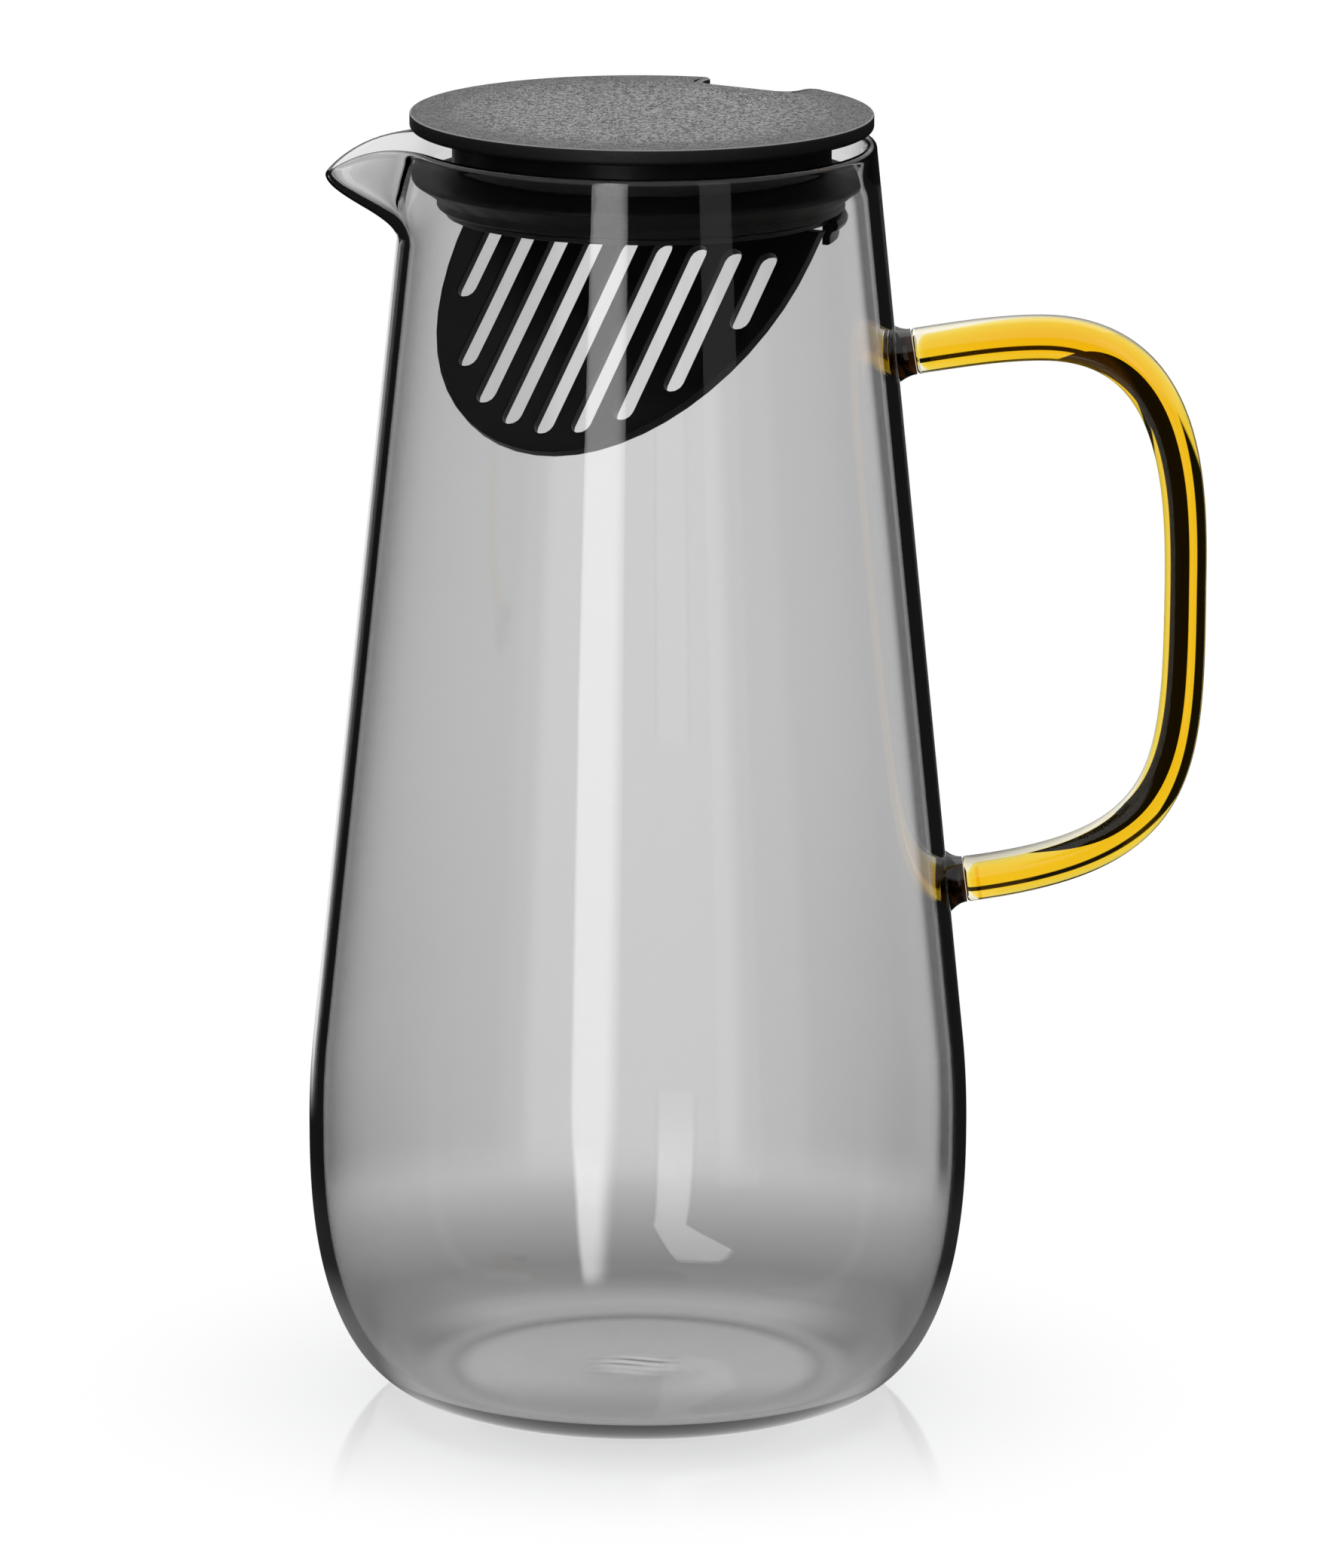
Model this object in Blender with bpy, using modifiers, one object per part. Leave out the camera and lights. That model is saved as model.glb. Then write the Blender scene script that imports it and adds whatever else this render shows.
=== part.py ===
import math

import bmesh
import bpy

# Glass jug with a fused rod handle and a push-in lid that carries a strainer.
# Metres, +Z up. The origin is the centre of the foot. The spout points to -X and the handle to +X.

# Running gap between pieces that touch, and the overrun of every cut
clearance = 0.0003
overrun = 0.004
weld_distance = 0.000005

# Glass body, measured on its outer surface
rim_height = 0.2445
rim_radius = 0.0446
belly_height = 0.053
belly_radius = 0.0636
belly_blend = 0.017
foot_radius = 0.0365
heel_power = 2.5
wall_thickness = 0.0026
foot_thickness = 0.0036
rim_thickness = 0.0021
rim_thinning_height = 0.008
rim_rounding = 0.0007
glass_steps = 72

# Inside of the floor, where the glass swells towards the small knob that the blower's iron leaves
floor_swell_height = 0.0008
floor_swell_radius = 0.0200
floor_swell_row_shares = (1, 0.85, 0.65, 0.45)
knob_height = 0.0007
knob_radius = 0.0060
knob_row_shares = (1, 0.7, 0.4)

# Spout, drawn out of the rim towards -X
spout_height = 0.019
spout_reach = 0.0155
spout_dip = 0.0063
spout_lip_thickness = 0.0016
spout_half_angle = math.radians(11.8)
spout_dip_half_angle = math.radians(7.6)
spout_crowding = 0.45
spout_rows = 9

# Handle rod: the upper joint is set down from the rim, the rest down from that joint
upper_joint_drop = 0.0410
lower_joint_drop = 0.1032
handle_side_drop = 0.0448
handle_reach = 0.0557
handle_crest_out = 0.0276
handle_crest_rise = 0.0033
upper_joint_angle = math.radians(9.5)
lower_joint_angle = math.radians(7.5)
rod_radius = 0.0040
rod_end_radius = 0.0044
upper_bend_lengths = (0.0078, 0.0078)
outer_bend_lengths = (0.0272, 0.0197)
lower_bend_lengths = (0.0373, 0.0417)

# Welds between the rod and the wall
weld_length = 0.0032
upper_weld_radius = 0.0054
lower_weld_radius = 0.0059

# Lid cap
lid_angle = math.radians(-33)
lid_rim_gap = 0.0024
cap_thickness = 0.0031
cap_inset = 0.0005
cap_top_rounding = 0.0004
cap_bottom_rounding = 0.0009
dish_border = 0.0075
dish_slope = 0.0035
dish_depth = 0.0006
notch_width = 0.0215
notch_depth = 0.0085
notch_corner = 0.0035
notch_edge_rounding = 0.0020
boss_radius = 0.018
boss_height = 0.002

# Seal ring and plug, measured down from the rim and in from the mouth
seal_gap = 0.0004
seal_drop = 0.0053
seal_height = 0.0070
seal_lip_drop = 0.0015
seal_lip_thickness = 0.0009
seal_root_drop = 0.0052
seal_overhang = 0.0034
seal_corner = 0.0004
neck_inset = 0.0060
groove_depth = 0.0010
flange_thickness = 0.0010
flange_inset = 0.0015
bead_proud = 0.0006
bead_height = 0.0025
skirt_inset = 0.0011
skirt_drop = 0.0177
skirt_thickness = 0.0016
skirt_rounding = 0.0005
skirt_setback = 0.0080

# Strainer plate, which hangs from the plug at a slant. Its slots start on one line, below the rim and
# in front of the lid's axis, and its length is measured down from that line.
slot_line_drop = 0.0186
slot_line_offset = 0.0026
strainer_tilt = math.radians(43.5)
strainer_length = 0.0494
strainer_thickness = 0.0018
slot_count = 9
slot_row_margin = 0.0079
slot_width = 0.0041
slot_end_margin = 0.0040
slot_side_margin = 0.0053

# Facets of the round pieces
seal_steps = 60
plug_steps = 48
cap_steps = 96
weld_steps = 20
arc_steps = 6

# Heights and radii that follow from the sizes above
upper_joint_height = rim_height - upper_joint_drop
lower_joint_height = upper_joint_height - lower_joint_drop
handle_side_height = upper_joint_height - handle_side_drop
mouth_radius = rim_radius - rim_thickness
lip_radius = mouth_radius - seal_gap
band_radius = lip_radius - seal_overhang
neck_radius = lip_radius - neck_inset
groove_radius = neck_radius - groove_depth
flange_radius = band_radius - flange_inset
bead_radius = band_radius + bead_proud
skirt_radius = band_radius - skirt_inset
cap_radius = rim_radius - cap_inset
cap_bottom = rim_height + lid_rim_gap
cap_top = cap_bottom + cap_thickness
seal_top = rim_height - seal_drop
seal_bottom = seal_top - seal_height
flange_top = seal_bottom - clearance
plug_floor = flange_top - flange_thickness
skirt_bottom = rim_height - skirt_drop
slot_line_height = rim_height - slot_line_drop
slot_pitch = (band_radius - slot_row_margin) * 2 / (slot_count - 1)


def clear_scene():
    for old in list(bpy.data.objects):
        bpy.data.objects.remove(old, do_unlink=True)


def new_collection(name):
    group = bpy.data.collections.new(name)
    bpy.context.scene.collection.children.link(group)
    return group


def finish(name, colour, roughness, alpha=1, transmission=0):
    material = bpy.data.materials.new(name)
    material.use_nodes = True
    shader = material.node_tree.nodes['Principled BSDF']
    shader.inputs['Base Color'].default_value = (*colour, 1)
    shader.inputs['Roughness'].default_value = roughness
    shader.inputs['Metallic'].default_value = 0
    shader.inputs['Alpha'].default_value = alpha
    shader.inputs['Transmission Weight'].default_value = transmission
    return material


def add_object(name, data, group, parent=None):
    piece = bpy.data.objects.new(name, data)
    group.objects.link(piece)
    piece.parent = parent
    return piece


def turned(name, profile, steps, group, parent=None, closed=False):
    # A profile of (radius, height) points, top to bottom down its outer side, turned about Z
    mesh = bpy.data.meshes.new(name)
    points = [(radius, 0, height) for radius, height in profile]
    edges = [(i, i + 1) for i in range(len(points) - 1)]
    if closed:
        edges.append((len(points) - 1, 0))
    mesh.from_pydata(points, edges, [])
    piece = add_object(name, mesh, group, parent)
    screw = piece.modifiers.new('Turn', 'SCREW')
    screw.axis = 'Z'
    screw.angle = 2 * math.pi
    screw.steps = steps
    screw.render_steps = steps
    screw.use_merge_vertices = True
    screw.merge_threshold = weld_distance
    return piece


def bake(piece):
    # Replaces a piece's curve or modifiers with the mesh that they make
    bpy.context.view_layer.update()
    evaluated = piece.evaluated_get(bpy.context.evaluated_depsgraph_get())
    mesh = bpy.data.meshes.new_from_object(evaluated)
    work = bmesh.new()
    work.from_mesh(mesh)
    bmesh.ops.remove_doubles(work, verts=work.verts, dist=weld_distance)
    work.to_mesh(mesh)
    work.free()
    if piece.type == 'MESH':
        piece.modifiers.clear()
        piece.data = mesh
        return piece
    name = piece.name
    group = piece.users_collection[0]
    parent = piece.parent
    local = piece.matrix_local.copy()
    bpy.data.objects.remove(piece, do_unlink=True)
    solid = add_object(name, mesh, group, parent)
    solid.matrix_local = local
    return solid


def as_cutter(piece):
    piece.display_type = 'WIRE'
    piece.hide_render = True
    return piece


def combine(target, other, operation):
    change = target.modifiers.new(operation.title(), 'BOOLEAN')
    change.operation = operation
    change.solver = 'EXACT'
    change.object = other


def smooth(piece, angle):
    piece.data.shade_smooth()
    piece.data.set_sharp_from_angle(angle=angle)


def round_edges(piece, width, segments, angle):
    bevel = piece.modifiers.new('Round', 'BEVEL')
    bevel.width = width
    bevel.segments = segments
    bevel.limit_method = 'ANGLE'
    bevel.angle_limit = angle


def cone_slope():
    # Radius lost per unit of height, so that the straight cone meets the rim and the belly's blend
    return (belly_radius - rim_radius) / (rim_height - belly_height - belly_blend / 2)


def wall_radius(height):
    # Outer radius of the glass: a straight cone, a parabola round the belly and a rounded heel
    blend_top = belly_height + belly_blend
    if height >= blend_top:
        return rim_radius + cone_slope() * (rim_height - height)
    if height >= belly_height:
        bend = cone_slope() / (2 * belly_blend)
        return belly_radius - bend * (height - belly_height) ** 2
    fall = 1 - height / belly_height
    return foot_radius + (belly_radius - foot_radius) * (1 - fall ** heel_power) ** (1 / heel_power)


def wall_heights():
    # Rows of the turned wall, close together round the spout, the belly and the heel
    heights = [rim_height - spout_height * i / spout_rows for i in range(spout_rows + 1)]
    spout_foot = heights[-1]
    blend_top = belly_height + belly_blend
    heights.append((spout_foot + blend_top) / 2)
    blend_rows = 3
    heights += [blend_top - belly_blend * i / blend_rows for i in range(blend_rows)]
    heel_rows = 10
    for i in range(heel_rows + 1):
        turn = i / heel_rows * math.pi / 2
        heights.append(belly_height * (1 - math.sin(turn) ** (2 / heel_power)))
    return heights


def outer_profile(offset=0):
    return [(wall_radius(height) + offset, height) for height in wall_heights()]


def crowd_meridians(mesh):
    # Draws the turned mesh's meridians together at the spout, where the form is finest
    for vertex in mesh.vertices:
        radius = math.hypot(vertex.co.x, vertex.co.y)
        angle = math.atan2(vertex.co.y, -vertex.co.x)
        angle -= spout_crowding * math.sin(angle)
        vertex.co.x = -radius * math.cos(angle)
        vertex.co.y = radius * math.sin(angle)


def ease(share):
    share = min(max(share, 0), 1)
    return share * share * (3 - 2 * share)


def floor_rise(radius):
    # Glass added to the floor at this distance from its middle
    swell = floor_swell_height * ease(1 - radius / floor_swell_radius)
    return swell + knob_height * ease(1 - radius / knob_radius)


def floor_profile():
    rows = [floor_swell_radius * share for share in floor_swell_row_shares]
    rows += [knob_radius * share for share in knob_row_shares]
    return [(radius, 0) for radius in rows] + [(0, 0)]


def glass_thickness(height, angle, radius):
    rise = ease((height - rim_height + rim_thinning_height) / rim_thinning_height)
    draw = ease((height - rim_height + spout_height) / spout_height)
    lip = draw * math.exp(-(angle / spout_half_angle) ** 2)
    foot = ease(1 - height / wall_thickness)
    swell = floor_rise(radius) * foot
    thickness = wall_thickness + (rim_thickness - wall_thickness) * rise
    thickness += (spout_lip_thickness - thickness) * lip
    return thickness + (foot_thickness - wall_thickness) * foot + swell


def shape_glass(piece):
    # Pulls the spout out of the turned wall and gives each point its own thickness of glass
    group = piece.vertex_groups.new(name='thickness')
    thickest = max(wall_thickness, foot_thickness + floor_rise(0))
    for vertex in piece.data.vertices:
        radius = math.hypot(vertex.co.x, vertex.co.y)
        angle = math.atan2(vertex.co.y, -vertex.co.x)
        height = vertex.co.z
        group.add([vertex.index], glass_thickness(height, angle, radius) / thickest, 'REPLACE')
        share = (height - rim_height + spout_height) / spout_height
        if share <= 0:
            continue
        radius += spout_reach * ease(share) * math.exp(-(angle / spout_half_angle) ** 2)
        vertex.co.x = -radius * math.cos(angle)
        vertex.co.y = radius * math.sin(angle)
        vertex.co.z -= spout_dip * share * math.exp(-(angle / spout_dip_half_angle) ** 2)
    solid = piece.modifiers.new('Glass', 'SOLIDIFY')
    solid.thickness = thickest
    solid.offset = -1
    solid.use_even_offset = True
    solid.vertex_group = group.name


def build_glass_body(group):
    body = bake(turned('glass_body', outer_profile() + floor_profile(), glass_steps, group))
    crowd_meridians(body.data)
    shape_glass(body)
    round_edges(body, rim_rounding, 2, math.radians(60))
    smooth(body, math.radians(50))
    return body


def build_wall_cutter(cutters):
    # The space that the glass fills, grown by the clearance, for whatever is seated against the wall
    profile = [(0, rim_height)] + outer_profile(clearance) + [(0, 0)]
    wall = bake(turned('wall_space', profile, glass_steps, cutters))
    crowd_meridians(wall.data)
    return as_cutter(wall)


def joint_point(height, angle, distance):
    # A point off the wall in the plane of the handle, along the rod's direction at that joint
    return (wall_radius(height) + distance * math.cos(angle), height + distance * math.sin(angle))


def build_handle(group):
    curve = bpy.data.curves.new('handle', 'CURVE')
    curve.dimensions = '3D'
    curve.bevel_depth = rod_radius
    curve.bevel_resolution = 5
    curve.use_fill_caps = True
    curve.resolution_u = 12
    rod = curve.splines.new('BEZIER')
    rod.bezier_points.add(3)
    seat = weld_length + clearance
    start = joint_point(upper_joint_height, upper_joint_angle, seat)
    start_end = joint_point(upper_joint_height, upper_joint_angle, seat + upper_bend_lengths[0])
    foot = joint_point(lower_joint_height, lower_joint_angle, seat)
    foot_end = joint_point(lower_joint_height, lower_joint_angle, seat + lower_bend_lengths[1])
    wall = wall_radius(upper_joint_height)
    crest = (wall + handle_crest_out, upper_joint_height + handle_crest_rise)
    side = (wall + handle_reach, handle_side_height)
    thick_share = rod_end_radius / rod_radius
    knots = [
        (start, (2 * start[0] - start_end[0], 2 * start[1] - start_end[1]), start_end, thick_share),
        (crest, (crest[0] - upper_bend_lengths[1], crest[1]), (crest[0] + outer_bend_lengths[0], crest[1]),
         thick_share),
        (side, (side[0], side[1] + outer_bend_lengths[1]), (side[0], side[1] - lower_bend_lengths[0]), 1),
        (foot, foot_end, (2 * foot[0] - foot_end[0], 2 * foot[1] - foot_end[1]), thick_share),
    ]
    for point, (place, left, right, share) in zip(rod.bezier_points, knots):
        point.handle_left_type = 'FREE'
        point.handle_right_type = 'FREE'
        point.co = (place[0], 0, place[1])
        point.handle_left = (left[0], 0, left[1])
        point.handle_right = (right[0], 0, right[1])
        point.radius = share
    handle = bake(add_object('handle', curve, group))
    smooth(handle, math.radians(40))
    return handle


def build_weld(name, height, angle, wall_end_radius, wall, group):
    # A flared gather of glass: turned, laid along the rod and cut to the curve of the wall
    rows = 4
    profile = [(0, weld_length)]
    for i in range(rows + 1):
        share = i / rows
        radius = rod_end_radius + (wall_end_radius - rod_end_radius) * share ** 2
        profile.append((radius, weld_length * (1 - share)))
    profile += [(wall_end_radius, -overrun), (0, -overrun)]
    weld = bake(turned(name, profile, weld_steps, group))
    weld.location = (wall_radius(height), 0, height)
    weld.rotation_euler = (0, math.pi / 2 - angle, 0)
    combine(weld, wall, 'DIFFERENCE')
    smooth(weld, math.radians(40))
    return weld


def dish_height(radius):
    rim_edge = cap_radius - dish_border
    return cap_top - dish_depth * ease((rim_edge - radius) / dish_slope)


def rounded_corner(centre, radius, start, end, steps):
    # Points of an arc about a centre in the profile plane, angles from the radius axis
    points = []
    for i in range(steps + 1):
        turn = start + (end - start) * i / steps
        points.append((centre[0] + radius * math.cos(turn), centre[1] + radius * math.sin(turn)))
    return points


def build_cap(group, cutters, axis):
    rim_edge = cap_radius - dish_border
    slope_rows = 4
    profile = [(0, dish_height(0))]
    for i in range(slope_rows + 1):
        radius = rim_edge - dish_slope * (1 - i / slope_rows)
        profile.append((radius, dish_height(radius)))
    top = (cap_radius - cap_top_rounding, cap_top - cap_top_rounding)
    bottom = (cap_radius - cap_bottom_rounding, cap_bottom + cap_bottom_rounding)
    profile += rounded_corner(top, cap_top_rounding, math.pi / 2, 0, 2)
    profile += rounded_corner(bottom, cap_bottom_rounding, 0, -math.pi / 2, 3)
    profile += [(boss_radius, cap_bottom), (boss_radius, cap_bottom - boss_height)]
    profile += [(0, cap_bottom - boss_height)]
    cap = bake(turned('lid_cap', profile, cap_steps, group, axis))
    notch = build_notch_cutter(cutters, axis)
    combine(cap, notch, 'DIFFERENCE')
    cap = bake(cap)
    smooth(cap, math.radians(35))
    return cap


def build_notch_cutter(cutters, axis):
    # Plan outline of the thumb notch at the back of the cap: round inner corners, and a mouth that is
    # rounded into the cap's edge
    curve = bpy.data.curves.new('notch', 'CURVE')
    curve.dimensions = '2D'
    curve.fill_mode = 'BOTH'
    curve.extrude = cap_thickness / 2 + overrun / 4
    half = notch_width / 2
    beyond = cap_radius + overrun
    corner = (half - notch_corner, cap_radius - notch_depth + notch_corner)
    outline = rounded_corner(corner, notch_corner, -math.pi / 2, 0, arc_steps)
    flare_across = half + notch_edge_rounding
    flare_along = math.sqrt((cap_radius - notch_edge_rounding) ** 2 - flare_across ** 2)
    outward = math.atan2(flare_along, flare_across)
    outline += rounded_corner((flare_across, flare_along), notch_edge_rounding, math.pi, outward, arc_steps)
    outline.append((beyond * math.cos(outward), beyond * math.sin(outward)))
    mirrored = [(-across, along) for across, along in reversed(outline)]
    add_loop(curve, outline + [(0, beyond)] + mirrored)
    notch = bake(add_object('notch_space', curve, cutters, axis))
    notch.location = (0, 0, (cap_top + cap_bottom) / 2)
    return as_cutter(notch)


def add_loop(curve, outline):
    loop = curve.splines.new('POLY')
    loop.points.add(len(outline) - 1)
    for point, (across, along) in zip(loop.points, outline):
        point.co = (across, along, 0, 1)
    loop.use_cyclic_u = True


def build_seal(group, parent):
    lip_height = seal_top - seal_lip_drop
    root_height = seal_top - seal_root_drop
    inner = groove_radius + clearance
    profile = [(inner, seal_top), (neck_radius + clearance, seal_top)]
    profile += [(lip_radius - seal_corner, lip_height), (lip_radius, lip_height - seal_corner)]
    profile += [(lip_radius, lip_height - seal_lip_thickness)]
    profile += [(band_radius, root_height), (band_radius, seal_bottom + seal_corner)]
    profile += [(band_radius - seal_corner, seal_bottom), (inner, seal_bottom)]
    seal = bake(turned('seal_ring', profile, seal_steps, group, parent, closed=True))
    smooth(seal, math.radians(50))
    return seal


def build_block(name, low, high, cutters, axis):
    # A cutter that fills the box between two corners
    mesh = bpy.data.meshes.new(name)
    work = bmesh.new()
    bmesh.ops.create_cube(work, size=1)
    for vertex in work.verts:
        vertex.co = [b if side > 0 else a for side, a, b in zip(vertex.co, low, high)]
    work.to_mesh(mesh)
    work.free()
    return as_cutter(add_object(name, mesh, cutters, axis))


def build_plug(group, cutters, axis):
    top = cap_bottom - clearance
    socket = boss_radius + clearance
    socket_floor = cap_bottom - boss_height - clearance
    profile = [(0, socket_floor), (socket, socket_floor), (socket, top), (neck_radius, top)]
    profile += [(neck_radius, seal_top + clearance), (groove_radius, seal_top + clearance)]
    profile += [(groove_radius, flange_top), (flange_radius, flange_top), (flange_radius, plug_floor)]
    profile += [(0, plug_floor)]
    plug = bake(turned('lid_plug', profile, plug_steps, group, axis))
    combine(plug, build_skirt(cutters, axis), 'UNION')
    plug = bake(plug)
    smooth(plug, math.radians(40))
    return plug


def build_skirt(cutters, axis):
    # A thin wall round the rear of the plug, with a bead at its top, that shuts off the spout when the
    # lid is turned
    bead_bottom = flange_top - bead_height
    bead_centre = (bead_radius - bead_height / 2, (flange_top + bead_bottom) / 2)
    inner = skirt_radius - skirt_thickness
    profile = [(inner, flange_top)]
    profile += rounded_corner(bead_centre, bead_height / 2, math.pi / 2, -math.pi / 2, 4)
    profile += [(skirt_radius, bead_bottom - (bead_radius - skirt_radius) / 2)]
    foot = (skirt_radius - skirt_rounding, skirt_bottom + skirt_rounding)
    profile += rounded_corner(foot, skirt_rounding, 0, -math.pi / 2, 2)
    profile += [(inner, skirt_bottom)]
    skirt = bake(turned('skirt', profile, plug_steps, cutters, axis, closed=True))
    reach = cap_radius + overrun
    low = (-reach, -reach, skirt_bottom - overrun)
    high = (reach, skirt_setback, flange_top + overrun)
    combine(skirt, build_block('front_space', low, high, cutters, axis), 'DIFFERENCE')
    return as_cutter(bake(skirt))


def build_strainer(group, axis):
    # A flat plate, half an ellipse below the slots' top line, with a straight strip above it that ends
    # level where it seats under the plug's floor
    curve = bpy.data.curves.new('strainer', 'CURVE')
    curve.dimensions = '2D'
    curve.fill_mode = 'BOTH'
    curve.extrude = strainer_thickness / 2
    strip = (plug_floor - clearance - slot_line_height) / math.cos(strainer_tilt)
    edge_steps = 28
    outline = [(-band_radius, strip)]
    for i in range(edge_steps + 1):
        turn = math.pi + math.pi * i / edge_steps
        outline.append((band_radius * math.cos(turn), strainer_length * math.sin(turn)))
    outline.append((band_radius, strip))
    add_loop(curve, outline)
    for i in range(slot_count):
        across = (i - (slot_count - 1) / 2) * slot_pitch
        add_loop(curve, slot_outline(across))
    plate = bake(add_object('strainer', curve, group, axis))
    plate.location = (0, -slot_line_offset, slot_line_height)
    plate.rotation_euler = (math.pi / 2 - strainer_tilt, 0, 0)
    for vertex in plate.data.vertices:
        if vertex.co.y > strip / 2:
            vertex.co.y = strip - vertex.co.z * math.tan(strainer_tilt)
    smooth(plate, math.radians(40))
    return plate


def slot_outline(across):
    # A slot with round ends, from the top line down to an ellipse inside the plate's edge
    half = slot_width / 2
    side = band_radius - slot_side_margin
    length = (strainer_length - slot_end_margin) * math.sqrt(1 - (across / side) ** 2)
    outline = []
    for i in range(arc_steps + 1):
        turn = math.pi * i / arc_steps
        outline.append((across + half * math.cos(turn), -half + half * math.sin(turn)))
    for i in range(arc_steps + 1):
        turn = math.pi + math.pi * i / arc_steps
        outline.append((across + half * math.cos(turn), half - length + half * math.sin(turn)))
    return outline


def build_axis(name, parts, parent=None, angle=0):
    axis = bpy.data.objects.new(name, None)
    axis.empty_display_size = rim_radius
    axis.rotation_euler.z = angle
    axis.parent = parent
    parts.objects.link(axis)
    return axis


clear_scene()
parts = new_collection('glass_jug')
cutters = new_collection('glass_jug_cutters')

smoke_glass = finish('smoke_glass', (0.34, 0.34, 0.35), 0.03, alpha=0.4, transmission=1)
amber_glass = finish('amber_glass', (0.9, 0.48, 0.035), 0.03, alpha=0.85, transmission=0.8)
black_plastic = finish('black_plastic', (0.02, 0.02, 0.021), 0.5)
black_silicone = finish('black_silicone', (0.012, 0.012, 0.013), 0.35)

lift_axis = build_axis('lid_lift_axis', parts)
turn_axis = build_axis('lid_turn_axis', parts, lift_axis, lid_angle)

wall = build_wall_cutter(cutters)
build_glass_body(parts).data.materials.append(smoke_glass)
build_handle(parts).data.materials.append(amber_glass)
upper = build_weld('upper_handle_weld', upper_joint_height, upper_joint_angle, upper_weld_radius, wall, parts)
upper.data.materials.append(smoke_glass)
lower = build_weld('lower_handle_weld', lower_joint_height, lower_joint_angle, lower_weld_radius, wall, parts)
lower.data.materials.append(smoke_glass)
build_seal(parts, lift_axis).data.materials.append(black_silicone)
build_cap(parts, cutters, turn_axis).data.materials.append(black_plastic)
build_plug(parts, cutters, turn_axis).data.materials.append(black_plastic)
build_strainer(parts, turn_axis).data.materials.append(black_plastic)
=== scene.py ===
import math

import bmesh
import bpy
import numpy as np
from mathutils import Matrix, Vector


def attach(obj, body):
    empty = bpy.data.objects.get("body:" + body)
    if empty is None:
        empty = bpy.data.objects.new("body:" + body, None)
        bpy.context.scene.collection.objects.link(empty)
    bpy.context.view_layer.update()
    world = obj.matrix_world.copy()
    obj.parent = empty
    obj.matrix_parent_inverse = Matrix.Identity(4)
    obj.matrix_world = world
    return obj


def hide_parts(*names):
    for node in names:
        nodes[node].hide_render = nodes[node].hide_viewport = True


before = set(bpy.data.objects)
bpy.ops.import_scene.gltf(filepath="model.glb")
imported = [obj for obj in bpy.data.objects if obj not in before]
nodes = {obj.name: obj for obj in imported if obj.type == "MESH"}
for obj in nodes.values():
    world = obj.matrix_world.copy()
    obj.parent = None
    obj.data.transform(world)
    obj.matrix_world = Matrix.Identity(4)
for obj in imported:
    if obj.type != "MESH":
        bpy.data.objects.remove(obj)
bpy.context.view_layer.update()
print("frame loaded:", ", ".join(sorted(nodes)))

# The photograph's camera, found from the jug itself: metres and degrees
cameraSettings = {
    "distance": 2.0415,
    "height": 0.5854,
    "tilt": 12.863,
    "swing": 0.13621,
    "roll": -0.25481,
    "lens": 249.9,
    "filmSide": 36,  # of the long side of the 1764 x 2082 picture
    "clipEnd": 20,
}


def placeCamera():
    s = cameraSettings
    tilt, swing, roll = (math.radians(s[key]) for key in ("tilt", "swing", "roll"))
    forward = Vector((math.sin(swing) * math.cos(tilt), math.cos(swing) * math.cos(tilt), -math.sin(tilt)))
    level = Vector((math.cos(swing), -math.sin(swing), 0))
    down = forward.cross(level).normalized()
    right = level * math.cos(roll) + down * math.sin(roll)
    up = level * math.sin(roll) - down * math.cos(roll)
    data = bpy.data.cameras.new("camera")
    data.lens = s["lens"]
    data.sensor_width = s["filmSide"]
    data.clip_end = s["clipEnd"]
    camera = bpy.data.objects.new("camera", data)
    bpy.context.scene.collection.objects.link(camera)
    turn = Matrix((right, up, -forward)).transposed().to_4x4()
    camera.matrix_world = Matrix.Translation((0, -s["distance"], s["height"])) @ turn
    bpy.context.scene.camera = camera


placeCamera()
bpy.context.scene.view_settings.view_transform = "Standard"
print("camera placed")


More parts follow.
